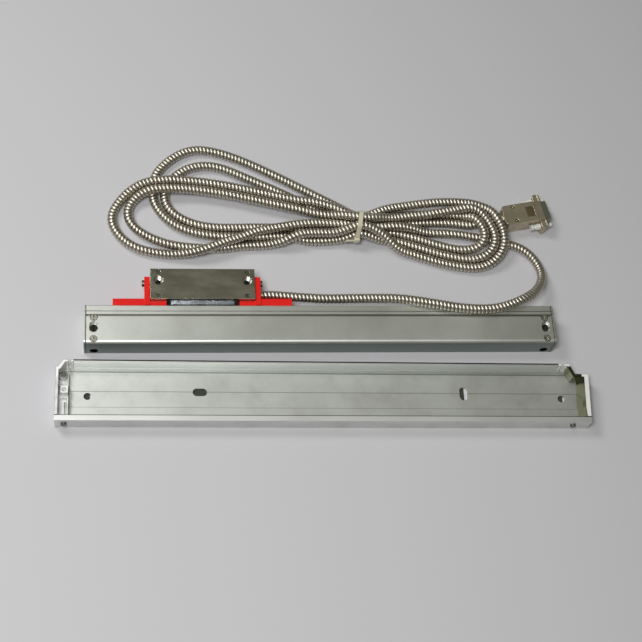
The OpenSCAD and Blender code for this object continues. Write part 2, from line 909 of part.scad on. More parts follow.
// One ring of the tube, square to the route, with its side axis level
function ring(pts, i, r, sides) =
    let (d = route_dir(pts, i), side = unit(cross([0, 0, 1], d)), up = cross(d, side))
    [for (k = [0:sides - 1]) let (a = 360*(k + 0.5)/sides)
        pts[i] + r*(cos(a)*side + sin(a)*up)];

module tube(pts, r, sides) {
    n = len(pts);
    rings = [for (i = [0:n - 1]) each ring(pts, i, r, sides)];
    side_faces = [for (i = [0:n - 2], k = [0:sides - 1])
        let (a = i*sides + k, b = i*sides + (k + 1) % sides)
        [a, a + sides, b + sides, b]];
    first_cap = [for (k = [0:sides - 1]) k];
    last_cap = [for (k = [sides - 1:-1:0]) (n - 1)*sides + k];
    polyhedron(concat(rings), concat([first_cap], side_faces, [last_cap]));
}

module cable() {
    color(armour) tube(cable_route, cable_r, cable_sides);
}

module coil_lobe(rounds) {
    hull() for (c = concat([coil_waist], rounds)) translate([c.x, c.y]) circle(r = c.z, $fn = 32);
}

module cable_coil() {
    color(armour) difference() {
        union() {
            translate([0, 0, coil_z0]) linear_extrude(coil_h) {
                coil_lobe(coil_left);
                coil_lobe(coil_right);
            }
            // the turns stand a little higher where the tie gathers them
            block([tie_x - coil_hump, coil_waist.y - coil_waist.z, tie_inner[2]],
                [tie_x + tie_w + coil_hump, coil_waist.y + coil_waist.z, tie_inner[3] - tie_clear]);
        }
        // seat of the tie's band
        difference() {
            block([tie_x, coil_waist.y - 2*coil_waist.z, -cut_over],
                [tie_x + tie_w, coil_waist.y + 2*coil_waist.z, 2*coil_h]);
            block([tie_x - cut_over, tie_inner[0] + tie_clear, tie_inner[2]],
                [tie_x + tie_w + cut_over, tie_inner[1] - tie_clear, tie_inner[3] - tie_clear]);
        }
        // flat faces that the cable's two ends meet
        translate([cable_end.x, cable_end.y, -1]) rotate([0, 0, cable_end_turn])
            translate([-coil_cut.x, -coil_cut.y/2, 0]) cube(coil_cut);
        in_plug() translate([-entry_l, -coil_cut.y, -cut_over])
            cube([coil_cut.x, 2*coil_cut.y, coil_cut.z]);
    }
}

module cable_tie() {
    outer = [tie_inner[0] - tie_t, tie_inner[1] + tie_t, tie_inner[2] - tie_t,
        tie_inner[3] + tie_t];
    color(cream) {
        difference() {
            block([tie_x, outer[0], outer[2]], [tie_x + tie_w, outer[1], outer[3]]);
            block([tie_x - 1, tie_inner[0], tie_inner[2]],
                [tie_x + tie_w + 1, tie_inner[1], tie_inner[3]]);
        }
        translate([tie_x, outer[0] - tie_head.y, tie_head_z]) cube(tie_head);
        translate([tie_x - tie_tail.x, outer[0] - (tie_head.y + tie_tail.y)/2,
            tie_head_z + (tie_head.z - tie_tail.z)/2]) cube(tie_tail + [eps, 0, 0]);
    }
}

// ---- connector ----

module in_plug() {
    translate(plug_pos) rotate([0, 0, plug_turn]) children();
}

module hood_outline() {
    difference() {
        union() {
            translate([0, -hood_w/2]) square([hood_l + ear_l, hood_w]);
            translate([ear_u0, -ear_w/2]) square([ear_l - ear_back, ear_w]);
        }
        for (s = [0, 1]) mirror([0, s]) {
            translate([0, -hood_w/2]) corner_waste(hood_corner_r);
            translate([ear_u0, -ear_w/2]) corner_waste(ear_corner_r);
            translate([hood_l + ear_l, -ear_w/2]) mirror([1, 0]) corner_waste(ear_corner_r);
        }
    }
}

module jack_places() {
    for (s = [-1, 1]) translate([0, s*jack_span/2, plug_mid]) children();
}

module hood_screw_places() {
    for (s = [-1, 1]) translate([hood_screw_u, s*hood_screw_v, plug_z0]) children();
}

// Both halves together, with everything that is cut out of them
module hood_shape() {
    difference() {
        translate([0, 0, plug_z0]) linear_extrude(hood_t) hood_outline();
        translate([hood_l, -ear_w, plug_z0 + hood_t - ear_step])
            cube([ear_l + cut_over, 2*ear_w, hood_t]);
        for (s = [0, 1]) mirror([0, s, 0])
            translate([hood_l, hood_w/2, plug_z0 + hood_t - ear_drop])
                cube([ear_l + cut_over, ear_w, hood_t]);
        // room for the cable between the screws, and for the wires behind the contacts
        block([hood_wall, -hood_bay_v, plug_z0 + hood_wall],
            [hood_bay_u + eps, hood_bay_v, plug_z0 + hood_t - hood_wall]);
        block([hood_bay_u, -hood_w/2 + hood_wall, plug_z0 + hood_wall],
            [hood_l - hood_wall, hood_w/2 - hood_wall, plug_z0 + hood_t - hood_wall]);
        translate([hood_l - hood_wall - eps, 0, 0]) shell_core(ear_l + 2*hood_wall, 0);
        translate([-cut_over, 0, plug_mid]) cyl_x(spigot_r, hood_wall + 2*cut_over);
        jack_places() cyl_x(jack_hole_r, hood_l + ear_l + cut_over);
        hood_screw_places() {
            translate([0, 0, -cut_over]) cylinder(r = hood_screw_r, h = hood_t);
            translate([0, 0, hood_t - hood_recess_t])
                cylinder(r = hood_screw_head_r + seat_clear, h = hood_t);
        }
        // shallow panel on the wide face, between the ears and the screws
        translate([panel_u, -panel.y/2, plug_z0 + hood_t - panel.z])
            cube(panel + [0, 0, cut_over]);
    }
}

module connector_hood_lower() {
    color(armour) in_plug() intersection() {
        hood_shape();
        translate([-hood_l, -hood_l, plug_mid - 2*hood_t]) cube([3*hood_l, 2*hood_l, 2*hood_t]);
    }
}

module connector_hood_upper() {
    color(armour) in_plug() intersection() {
        hood_shape();
        translate([-hood_l, -hood_l, plug_mid]) cube([3*hood_l, 2*hood_l, 2*hood_t]);
    }
}

module connector_hood_screws() {
    color(plated) in_plug() hood_screw_places() difference() {
        union() {
            cylinder(r = hood_screw_r, h = hood_t - hood_recess_t + eps);
            translate([0, 0, hood_t - hood_recess_t])
                cylinder(r = hood_screw_head_r, h = hood_screw_head_t);
        }
        translate([0, 0, hood_t - hood_recess_t + hood_screw_head_t])
            cross_recess(hood_screw_head_r);
    }
}

module connector_ferrule() {
    color(plated) in_plug() translate([-entry_l, 0, plug_mid]) {
        cyl_x(entry_r, entry_l);
        translate([entry_l - eps, 0, 0]) cyl_x(spigot_r, hood_wall + 1);
    }
}

// The D outline, in V and W, grown by g
module d_outline(g) {
    h = shell_h/2 + g;
    polygon([[-shell_w/2 - g, h], [shell_w/2 + g, h],
        [shell_w/2 - shell_narrow/2 + g, -h], [-shell_w/2 + shell_narrow/2 - g, -h]]);
}

module shell_core(l, g) {
    translate([0, 0, plug_mid]) rotate([90, 0, 90]) linear_extrude(l) d_outline(g);
}

module connector_shell() {
    flange_u = hood_l + ear_l;
    color(plated) in_plug() difference() {
        union() {
            block([flange_u, -flange_w/2, plug_mid - flange_h/2],
                [flange_u + flange_t, flange_w/2, plug_mid + flange_h/2]);
            translate([flange_u, 0, 0]) shell_core(shell_l, 0);
        }
        translate([flange_u - cut_over, 0, 0]) shell_core(shell_l + 2*cut_over, -shell_wall);
        jack_places() cyl_x(jack_hole_r, hood_l + 2*ear_l);
    }
}

module contact_places() {
    for (k = [-2:2]) translate([0, k*contact_pitch, plug_mid + contact_row]) children();
    for (k = [-1.5:1.5]) translate([0, k*contact_pitch, plug_mid - contact_row]) children();
}

module connector_insulator() {
    color(dark) in_plug() difference() {
        translate([hood_l + 1, 0, 0]) shell_core(insulator_l, -shell_wall - run_clear);
        contact_places() cyl_x(contact_r, hood_l + 2*insulator_l);
    }
}

module connector_contacts() {
    color([0.8, 0.65, 0.3]) in_plug() contact_places() {
        translate([hood_l, 0, 0]) cyl_x(contact_r, ear_l);
        translate([hood_l + 1 - cup_l, 0, 0]) cyl_x(cup_r, cup_l);
    }
}

module thumb_screw(side) {
    knob_u1 = ear_u0 - body_clear;
    neck_u1 = knob_u1 - jack_knob[1];
    collar_u1 = neck_u1 - jack_neck[1];
    color(plated) in_plug() translate([0, side*jack_span/2, plug_mid]) {
        translate([neck_u1, 0, 0]) cyl_x(jack_knob[0], jack_knob[1]);
        translate([collar_u1 - eps, 0, 0]) cyl_x(jack_neck[0], jack_neck[1] + 2*eps);
        translate([collar_u1 - jack_collar[1], 0, 0]) cyl_x(jack_collar[0], jack_collar[1]);
        translate([knob_u1 - eps, 0, 0])
            cyl_x(jack_r, body_clear + ear_l - ear_back + flange_t + jack_tip);
    }
}

module thumb_screw_far() {
    thumb_screw(1);
}

module thumb_screw_near() {
    thumb_screw(-1);
}

// ---- cover ----

module in_cover() {
    translate(cover_pos) rotate([0, 0, cover_turn]) children();
}

// The right-hand end's frame: U runs inward from that end
module at_right_end() {
    translate([cover_l, 0, 0]) mirror([1, 0, 0]) children();
}

module cover_section() {
    square([cover_w, cover_t]);
    square([cover_t, cover_h]);
    translate([0, cover_h - lip_t]) square([cover_lip_w, lip_t]);
    translate([cover_w - cover_t, 0]) square([cover_t, cover_h]);
    translate([cover_t, cover_t - eps]) square([cover_step_w[0], cover_step_h + eps]);
    translate([cover_w - cover_t - cover_step_w[1], cover_t - eps])
        square([cover_step_w[1], cover_step_h + eps]);
}

// Slanted outline of the cut corner: foot on the end, head at the far wall
module corner_cut(corner) {
    foot = corner[0];
    head = corner[1];
    over = cover_w + cut_over;
    translate([0, 0, -cut_over]) linear_extrude(cover_h + 2*cut_over)
        polygon([[-cut_over, foot.y], foot, [head, cover_w], [head, over], [-cut_over, over]]);
    block([-cut_over, cover_w - cover_t, cover_t],
        [corner[2], over, cover_h + cut_over]);
}

module cover_channel() {
    color(alu) in_cover() difference() {
        translate([cover_l/2, 0, 0]) along_x(cover_l) cover_section();
        corner_cut(corner_left);
        at_right_end() corner_cut(corner_right);
        for (u = cover_hole_u) translate([u, cover_hole_v, -cut_over])
            cylinder(r = cover_hole_r, h = cover_t + 2*cut_over);
        translate([cover_slot_u[0], cover_slot_v, -cut_over])
            slot_hole(cover_slot_l, cover_slot_w, cover_t + 2*cut_over);
        translate([cover_slot_u[1], cover_slot_v, -cut_over]) rotate([0, 0, 90])
            slot_hole(cover_slot_l, cover_slot_w, cover_t + 2*cut_over);
        translate([-cut_over, cover_slot_v, cover_t - cover_line_depth])
            cube([cover_l + 2*cut_over, cover_line, cut_over]);
        for (u = near_screw_u) translate([u, -cut_over, near_screw_z])
            cyl_y(near_screw_r, cover_t + 2*cut_over);
        translate([post.x, post.y, -cut_over]) cylinder(r = near_screw_r, h = cover_h);
    }
}

// What both end brackets share: pad, slanted corner and the screw's block under the lip
module bracket_frame(corner, block_l) {
    foot = corner[0];
    head = corner[1];
    inner_v = foot.y - end_wall_t;
    pad_v0 = cover_t + cover_step_w[0] + seat_clear;
    pad_v1 = cover_w - cover_t - cover_step_w[1] - seat_clear;
    wall_u = corner[2] - seat_clear;
    block([0, pad_v0, cover_t], [end_wall_t, min(pad_v1, foot.y), base_z + eps]);
    block([0, cover_t + seat_clear, base_z], [block_l, bracket_v0 + eps, near_block_h]);
    translate([0, 0, base_z]) linear_extrude(cover_h - base_z)
        polygon([[0, inner_v], [0, foot.y], foot, [head, cover_w], [wall_u, cover_w],
            [wall_u, cover_w - cover_t], [head + slant_t, cover_w - cover_t],
            [foot.x + slant_t, inner_v]]);
}

// Pointed slit in a bracket's lug
module lug_cut(corner) {
    translate([(corner[1] + slant_t + corner[2])/2, cover_w - cover_t - eps, 0])
        linear_extrude(cover_h + cut_over) polygon([[-lug_slit.x/2, cover_t + cut_over],
            [0, cover_t - lug_slit.y], [lug_slit.x/2, cover_t + cut_over]]);
}

module near_screw_hole(u) {
    translate([u, -cut_over, near_screw_z]) cyl_y(near_screw_r, bracket_v0 + cut_over);
}

// Open casting with a floor, a rim, ribs, a drilled boss and a screw post
module cover_bracket_left() {
    floor_z = base_z + bracket_floor_t;
    rib_z = base_z + bracket_rib_h;
    inner_v = corner_left[0].y - end_wall_t;
    color(plated) in_cover() difference() {
        union() {
            bracket_frame(corner_left, near_block_l[0]);
            block([0, bracket_v0, base_z], [end_wall_t, corner_left[0].y, cover_h]);
            block([end_wall_t - eps, bracket_v0, base_z], [bracket_l, inner_v + eps, floor_z]);
            block([bracket_l - bracket_rib_t, bracket_v0, base_z], [bracket_l, cell_v, rib_z]);
            for (v = [cell_v, boss.y + boss_side/2]) block([end_wall_t - eps, v, base_z],
                [bracket_l, v + bracket_rib_t, rib_z]);
            block([boss.x - boss_side/2, boss.y - boss_side/2, base_z],
                [boss.x + boss_side/2, boss.y + boss_side/2 + eps, rib_z + bracket_rib_t]);
            translate([post.x, post.y, base_z]) cylinder(r = post_r, h = post_h);
        }
        lug_cut(corner_left);
        // drain slot beside the rim
        block([drain_u, bracket_v0 + drain_inset, base_z - cut_over],
            [drain_u + drain_w, cell_v - drain_inset, cover_h]);
        translate([boss.x, boss.y, floor_z]) cylinder(r = boss_hole_r, h = cover_h);
        translate([post.x, post.y, 0]) cylinder(r = near_screw_r, h = cover_h);
        near_screw_hole(near_screw_u[0]);
    }
}

// The right-hand casting shows its smooth sloping back
module cover_bracket_right() {
    color(plated) in_cover() difference() {
        at_right_end() union() {
            difference() {
                bracket_frame(corner_right, near_block_l[1]);
                lug_cut(corner_right);
            }
            // the sloping back stands a little askew on the channel
            translate([0, bracket_v0, 0]) rotate([90, 0, slope_turn]) mirror([0, 0, 1])
                linear_extrude(corner_right[0].y - bracket_v0)
                    polygon([[0, base_z], [slope_l, base_z],
                        [slope_l, base_z + slope_foot_h], [rim_t, cover_h], [0, cover_h]]);
        }
        near_screw_hole(near_screw_u[1]);
    }
}

module cover_screws() {
    post_z = base_z + post_h;
    color(steel) in_cover() {
        for (u = near_screw_u) translate([u, 0, near_screw_z]) {
            translate([0, -near_screw_head_t, 0]) cyl_y(near_screw_head_r, near_screw_head_t);
            translate([0, -eps, 0]) cyl_y(near_screw_r, bracket_v0);
        }
        translate([post.x, post.y, 0]) {
            translate([0, 0, near_screw_head_t/4]) cylinder(r = near_screw_r, h = post_z);
            translate([0, 0, post_z]) cylinder(r = near_screw_head_r, h = near_screw_head_t);
        }
    }
}

housing_extrusion();
end_block_left();
end_block_right();
end_gasket_left();
end_gasket_right();
end_block_screws();
glass_scale();
glass_cushion();
seal_lip_upper();
seal_lip_lower();
carriage_frame();
roller_pins();
face_roller_left();
face_roller_right();
face_roller_middle();
edge_roller_left();
edge_roller_right();
index_reticle();
lamp_module();
reader_board();
coupling_plate();
neck_blade();
signal_lead();
head_case();
head_gasket();
head_lid();
head_lid_screws();
signal_board();
signal_board_screws();
clip_left();
clip_right();
clip_screws();
cable_gland();
cable();
cable_coil();
cable_tie();
connector_hood_lower();
connector_hood_upper();
connector_hood_screws();
connector_ferrule();
connector_shell();
connector_insulator();
connector_contacts();
thumb_screw_far();
thumb_screw_near();
cover_channel();
cover_bracket_left();
cover_bracket_right();
cover_screws();
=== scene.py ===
import math
import bpy
import numpy as np
from mathutils import Euler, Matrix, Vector


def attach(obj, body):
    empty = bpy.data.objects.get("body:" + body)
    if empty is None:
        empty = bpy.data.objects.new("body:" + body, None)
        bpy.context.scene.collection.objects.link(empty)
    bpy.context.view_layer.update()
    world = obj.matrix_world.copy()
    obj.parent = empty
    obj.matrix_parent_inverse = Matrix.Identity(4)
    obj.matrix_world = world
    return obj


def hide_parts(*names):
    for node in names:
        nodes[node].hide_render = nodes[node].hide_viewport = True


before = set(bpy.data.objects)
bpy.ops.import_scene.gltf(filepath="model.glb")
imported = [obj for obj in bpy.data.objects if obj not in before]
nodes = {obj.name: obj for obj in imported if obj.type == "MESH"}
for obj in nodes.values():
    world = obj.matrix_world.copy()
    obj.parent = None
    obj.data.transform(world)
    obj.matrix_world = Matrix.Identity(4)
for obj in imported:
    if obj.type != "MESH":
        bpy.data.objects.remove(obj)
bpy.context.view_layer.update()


# ---- Camera ----
# A short telephoto lens held above the bench, a little to the left of the scale's middle, and
# tipped so that the housing runs level across the frame.

camera_data = bpy.data.cameras.new("camera")
camera_data.lens = 78.5
camera_data.sensor_width = 36
camera = bpy.data.objects.new("camera", camera_data)
camera.location = (-0.1693, -0.4892, 1.0503)
camera.rotation_euler = Euler([math.radians(a) for a in (25.754, -7.478, -3.572)])
bpy.context.scene.collection.objects.link(camera)
bpy.context.scene.camera = camera


# ---- Cable ----
# Strip-wound stainless conduit: a narrow steel strip rolled into a tube, whose rounded turns
# lock into each other and leave a fine groove between them, darkened by painted shade. It
# leaves the head's gland, rises over the housing's edge, comes down on the bench and lies in a
# hank of four laps.

mm = 0.001
cable_d = 8*mm
turn_pitch = 3.2*mm
turn_depth = 0.8*mm
# how much of a turn's depth is its rounded crown, and how much the groove where it locks
crown_share, lock_share = 0.7, 0.3
cable_sides = 16
steps_per_turn = 8

# the route is in millimetres; the cable's middle lies this high on the bench, and rides this
# high on a strand below, and two strands side by side keep this far apart
lies = 4.1
rides = 12.4
strand_gap = 8.2
tie_x = 39

# the free stretch, from the gland to the hank
free_stretch = [
    (-51, 30.5, 11), (-40, 30.5, 11), (-20, 28.5, 12), (2, 26.5, 13.5), (23, 25.5, 16),
    (44, 24.5, 18.5), (62, 23, 21), (78, 20, 23.3), (95, 16.5, 24.4), (112, 13.5, 24.4),
    (128, 12, 24.4), (144, 12.5, 24.4), (158, 16, 24.4), (171, 22, 23.5), (182, 30, 19.5),
    (190, 40, 14), (194.5, 51, 8.5), (194.5, 61.5, 5), (190.5, 71, lies), (183.5, 78.5, lies),
    (175, 83, lies), (166, 85.5, lies)]
into_hank = [(147, 90, lies), (125, 94, lies), (103, 95, 5), (73, 96, 10)]

# each lap on the left and on the right of the tie, in the order the cable runs
left_1 = [
    (28, 100, rides), (-32, 96, rides), (-65, 86, rides), (-98, 74, 12), (-122, 72, 7),
    (-146, 76, lies), (-158, 81, lies), (-170, 94, lies), (-174, 109, lies), (-161, 129, 9),
    (-140, 139, rides), (-113, 141, rides), (-80, 137, rides), (-31, 126, rides),
    (20, 115, rides)]
right_1 = [
    (62, 114, rides), (89, 120, rides), (119, 123, rides), (141, 120, rides), (155, 110, 13.5),
    (164, 95, 13.5), (164, 80, rides), (155, 67, 9), (141, 62, 5), (126, 62, lies),
    (101, 69, lies), (72, 81, 7)]
left_2 = [
    (15, 90, rides), (-15, 89, 8), (-65, 81, lies), (-91, 78, lies), (-121, 81, lies),
    (-139, 87, lies), (-157, 101, lies), (-160, 114, lies), (-149, 130, 11), (-133, 132, rides),
    (-113, 133, rides), (-80, 129, rides), (-25, 117, rides), (10, 108, rides)]
right_2 = [
    (73, 106, rides), (103, 111, rides), (133, 114, rides), (148, 110, 13.5), (156, 95, 13.5),
    (155.5, 80, rides), (144, 70, 9), (130, 70, 5), (101, 76, lies), (73, 86, lies)]
left_3 = [
    (10, 88, lies), (-57, 89, lies), (-89, 91, lies), (-108, 96, lies), (-123, 103, lies),
    (-136, 118, lies), (-140, 132, lies), (-137, 149, lies), (-128, 161, lies),
    (-119, 169, lies), (-103, 176, lies), (-84, 174, lies), (-62, 166, lies), (-29, 149, lies),
    (4, 130, lies), (25, 118, lies)]
right_3 = [
    (70, 113, lies), (103, 113, lies), (129, 111, 7), (145, 106, rides), (147.5, 92, rides),
    (143, 80, rides), (130, 78.5, 8), (116, 80, 5), (95, 87, lies), (74, 94, lies)]
left_4 = [
    (5, 97, lies), (-48, 99, lies), (-81, 98.5, lies), (-105, 101, lies), (-123, 113, lies),
    (-128, 122, lies), (-129, 132, lies), (-124, 143, lies), (-112, 155, lies),
    (-95, 160, lies), (-80, 158, lies), (-62, 150, lies), (-29, 134, lies), (5, 116, lies)]
to_connector = [
    (82, 104, lies), (104, 106, lies), (127, 107, lies), (145, 107.5, lies), (157, 107.3, 5.5),
    (162.5, 106.6, 7.8), (166, 107.3, 7.8)]

# the eight passes under the tie, in the order the cable runs: three low, three above, two on top
tie_middle = 102.2
tie_low, tie_mid, tie_top = 5.3, rides, 19.5
tie_passes = [
    (tie_x, tie_middle + strand_gap*across, height) for across, height in (
        (-0.5, tie_mid), (0.5, tie_mid), (-1, tie_top), (0, tie_top),
        (-1.5, tie_mid), (1, tie_low), (-1, tie_low), (0, tie_low))]

cable_route = free_stretch + into_hank
for tie_pass, lap in zip(tie_passes, (
        left_1, right_1, left_2, right_2, left_3, right_3, left_4, to_connector)):
    cable_route += [tie_pass] + lap


def evenly(points, step):
    """The same line with its points a step apart."""
    run = np.r_[0, np.cumsum(np.linalg.norm(np.diff(points, axis=0), axis=1))]
    places = np.linspace(0, run[-1], int(round(run[-1]/step)) + 1)
    return np.stack([np.interp(places, run, points[:, k]) for k in range(3)], axis=1)


def smooth_line(points, step):
    """A smooth line through all the points, each bend shared out by the points' distances."""
    places_per_span = 16
    p = np.vstack([2*points[0] - points[1], points, 2*points[-1] - points[-2]])
    line = []
    for a, b, c, d in zip(p[:-3], p[1:-2], p[2:-1], p[3:]):
        t1, t2, t3 = np.cumsum([np.linalg.norm(e)**0.5 for e in (b - a, c - b, d - c)])
        t = np.linspace(t1, t2, places_per_span, endpoint=False)[:, None]
        ab = a + (b - a)*t/t1
        bc = b + (c - b)*(t - t1)/(t2 - t1)
        cd = c + (d - c)*(t - t2)/(t3 - t2)
        abc = ab + (bc - ab)*t/t2
        bcd = bc + (cd - bc)*(t - t1)/(t3 - t1)
        line.append(abc + (bcd - abc)*(t - t1)/(t2 - t1))
    return evenly(np.vstack(line + [points[-1:]]), step)


def settle(line, held, gap, rounds):
    """Lets the laps ease apart until they lie on and beside each other, a cable's width apart."""
    rounds_per_search = 12
    search_reach = 1.5*gap
    own_neighbours = 7
    stiffness, sinking, homing = 0.6, 0.02, 0.01
    step = np.linalg.norm(np.diff(line, axis=0), axis=1).mean()
    home = line.copy()
    free = ~held[:, None]
    number = np.arange(len(line))
    for k in range(rounds):
        if k % rounds_per_search == 0:
            apart = np.linalg.norm(line[:, None] - line[None], axis=2)
            beyond = number[None] - number[:, None] > own_neighbours
            i, j = np.nonzero((apart < search_reach) & beyond)
        # the conduit resists bending
        bend = np.zeros_like(line)
        bend[2:-2] = (-line[:-4] + 4*line[1:-3] - 6*line[2:-2] + 4*line[3:-1] - line[4:])/16
        line = line + stiffness*bend*free
        # strands push each other away
        between = line[i] - line[j]
        far = np.maximum(np.linalg.norm(between, axis=1), 1e-6)
        press = np.where(far < gap, (gap - far)/2/far, 0)[:, None]*between
        shove = np.zeros_like(line)
        hits = np.zeros(len(line))
        for ends, sign in ((i, 1), (j, -1)):
            np.add.at(shove, ends, sign*press)
            np.add.at(hits, ends, far < gap)
        line = line + shove/np.maximum(hits, 1)[:, None]*free
        # each link takes back a third of its stretch at either end; then the free points sink
        # to the bench and are drawn a little towards their route
        link = np.diff(line, axis=0)
        pull = (1 - step/np.linalg.norm(link, axis=1))[:, None]*link/3
        line[:-1] += pull*free[:-1]
        line[1:] -= pull*free[1:]
        line[:, 2] = np.where(held, line[:, 2], np.maximum(line[:, 2] - sinking, lies))
        line = line + homing*(home - line)*free
    return line


# the free stretch, the last points before the plug and the passes under the tie stay put
plug_points = 3
drawn = smooth_line(np.array(cable_route, float), step=4)
held = np.zeros(len(drawn), bool)
held[:np.linalg.norm(drawn - free_stretch[-1], axis=1).argmin() + 1] = True
held[-plug_points:] = True
for tie_pass in tie_passes:
    held[np.linalg.norm(drawn - tie_pass, axis=1).argmin()] = True
cable_line = settle(drawn, held, gap=strand_gap, rounds=400)*mm


def along(line):
    """Unit directions along a line, and two sideways ones that turn with it as little as can be."""
    ahead = np.gradient(line, axis=0)
    ahead /= np.linalg.norm(ahead, axis=1)[:, None]
    side = np.zeros_like(ahead)
    side[0] = np.cross(ahead[0], (0, 0, 1))
    for k in range(1, len(line)):
        side[k] = side[k - 1] - ahead[k]*(side[k - 1] @ ahead[k])
        side[k] /= np.linalg.norm(side[k])
    return ahead, side, np.cross(ahead, side)


def add_mesh(name, points, faces, smooth=True):
    """A piece from its points and faces, linked to the scene."""
    mesh = bpy.data.meshes.new(name)
    mesh.from_pydata([tuple(p) for p in points], [], faces)
    mesh.update()
    mesh.polygons.foreach_set("use_smooth", [smooth]*len(mesh.polygons))
    piece = bpy.data.objects.new(name, mesh)
    bpy.context.scene.collection.objects.link(piece)
    return piece


def conduit(name, line):
    """The wound tube along a line: its radius dips once a turn, along a helix."""
    fine = evenly(smooth_line(line, step=1*mm), turn_pitch/steps_per_turn)
    ahead, side, up = along(fine)
    count = len(fine)
    angle = np.arange(cable_sides)*2*math.pi/cable_sides
    turn = (np.arange(count)[:, None]/steps_per_turn - angle[None]/(2*math.pi)) % 1
    from_crown = np.abs(2*turn - 1)
    # how far into its turn's groove each point lies, kept for the painted shade in the groove
    groove = from_crown**4
    dip = crown_share*from_crown**2 + lock_share*from_crown**6
    radius = cable_d/2 - turn_depth*dip
    ring = (np.cos(angle)[None, :, None]*side[:, None] + np.sin(angle)[None, :, None]*up[:, None])
    points = (fine[:, None] + radius[:, :, None]*ring).reshape(-1, 3)
    quads = []
    for k in range(count - 1):
        a = k*cable_sides
        for s in range(cable_sides):
            t = (s + 1) % cable_sides
            quads.append((a + s, a + t, a + cable_sides + t, a + cable_sides + s))
    quads.append(tuple(range(cable_sides))[::-1])
    quads.append(tuple((count - 1)*cable_sides + s for s in range(cable_sides)))
    piece = add_mesh(name, points, quads)
    shade = piece.data.attributes.new("groove", "FLOAT", "POINT")
    shade.data.foreach_set("value", groove.reshape(-1))
    return piece


def linear(hex_colour):
    """A linear colour from an sRGB hex value."""
    parts = [int(hex_colour[k:k + 2], 16)/255 for k in (1, 3, 5)]
    return tuple(c/12.92 if c < 0.04045 else ((c + 0.055)/1.055)**2.4 for c in parts) + (1,)


def add_node(material, kind, inputs=None, **settings):
    """Adds a shader node with its settings, and sets or links its inputs."""
    node = material.node_tree.nodes.new("ShaderNode" + kind)
    for name, value in settings.items():
        setattr(node, name, value)
    for name, value in (inputs or {}).items():
        if isinstance(value, bpy.types.NodeSocket):
            material.node_tree.links.new(value, node.inputs[name])
        else:
            node.inputs[name].default_value = value
    return node


def new_material(name):
    """An empty material and the shader that everything in it feeds."""
    material = bpy.data.materials.new(name)
    material.use_nodes = True
    return material, material.node_tree.nodes["Principled BSDF"]


def set_inputs(material, shader, **inputs):
    """Sets or links the shader's inputs, with their spaces written as underscores."""
    for name, value in inputs.items():
        socket = shader.inputs[name.replace("_", " ")]
        if isinstance(value, bpy.types.NodeSocket):
            material.node_tree.links.new(value, socket)
        else:
            socket.default_value = value


def object_place(material):
    """Where a point lies on its piece, in metres."""
    return add_node(material, "TexCoord").outputs["Object"]


def noise(material, place, scale, detail, **inputs):
    """A noise texture's value at a place."""
    return add_node(material, "TexNoise", {
        "Vector": place, "Scale": scale, "Detail": detail, **inputs}).outputs["Fac"]


def ranged(material, value, low, high, start=0.3, end=0.7):
    """A value between low and high, as another goes from start to end."""
    return add_node(material, "MapRange", {
        "Value": value, "From Min": start, "From Max": end, "To Min": low, "To Max": high,
    }).outputs["Result"]


def wound_steel():
    """Rolled stainless strip: bright along each turn's crown, darkened in the groove by painted
    shade.
    """
    material, shader = new_material("wound_steel")
    groove = add_node(material, "Attribute", attribute_name="groove").outputs["Fac"]
    smears = noise(material, object_place(material), scale=90.0, detail=4.0)
    # painted shade: the colour darkens from each crown into the groove
    ramp = add_node(material, "ValToRGB", {"Fac": groove})
    crown, groove_shade = ramp.color_ramp.elements
    crown.position, crown.color = 0.1, linear("#cdc7ba")
    groove_shade.position, groove_shade.color = 0.9, linear("#38352e")
    set_inputs(material, shader, Base_Color=ramp.outputs["Color"], Metallic=1.0,
               Roughness=ranged(material, smears, 0.35, 0.45))
    return material


cable = conduit("armoured_cable", cable_line)
cable.data.materials.append(wound_steel())
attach(cable, "head")
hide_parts("cable", "cable_coil")


# ---- Cable tie ----
# A natural nylon tie pulled tight around the hank's eight strands. Its band takes the bundle's
# rounded outline, leans a little, and ends in the ratchet head with the cut tail beside it.

tie_w = 3.9*mm
tie_t = 1.1*mm
tie_edge = 0.25*mm
tie_slack = 0.1*mm
tie_lean = 5.5*mm
# the far side of the band, where the lean starts
tie_far_x = tie_x*mm + 1*mm
# the head and the tail, with their places from the middle of the band's near side
tie_head_size = (5*mm, 3.6*mm, 5.6*mm)
tie_head_offset = (0, -0.4*mm, -1*mm)
tie_tail_size = (9*mm, 1.2*mm, 2.6*mm)
tie_tail_offset = (-5.4*mm, -0.8*mm, -2*mm)
tie_tail_turn = (0, 12, 8)


def band_outline(strands, radius, corners):
    """The outline, in Y and Z, of a band pulled round a bundle of strands."""
    angle = np.arange(corners)*2*math.pi/corners
    out = np.stack([np.cos(angle), np.sin(angle)], axis=1)
    return strands[(out @ strands.T).argmax(axis=1)] + radius*out


def tie_band(name, strands):
    """The closed band, leaning towards -X on its near side."""
    corners = 72
    inside = cable_d/2 + tie_slack
    inner = band_outline(strands, inside, corners)
    outer = band_outline(strands, inside + tie_t, corners)
    shoulder = band_outline(strands, inside + tie_t - tie_edge, corners)
    section = [(-tie_w/2, inner), (-tie_w/2, shoulder), (-tie_w/2 + tie_edge, outer),
               (tie_w/2 - tie_edge, outer), (tie_w/2, shoulder), (tie_w/2, inner)]
    span = outer[:, 0].max() - outer[:, 0].min()
    points = []
    for across, line in section:
        for y, z in line:
            lean = tie_lean*(outer[:, 0].max() - y)/span
            points.append((tie_far_x + across - lean, y, z))
    faces = []
    for k in range(len(section)):
        a, b = k*corners, (k + 1) % len(section)*corners
        for s in range(corners):
            t = (s + 1) % corners
            faces.append((a + s, a + t, b + t, b + s))
    return add_mesh(name, points, faces, smooth=False)


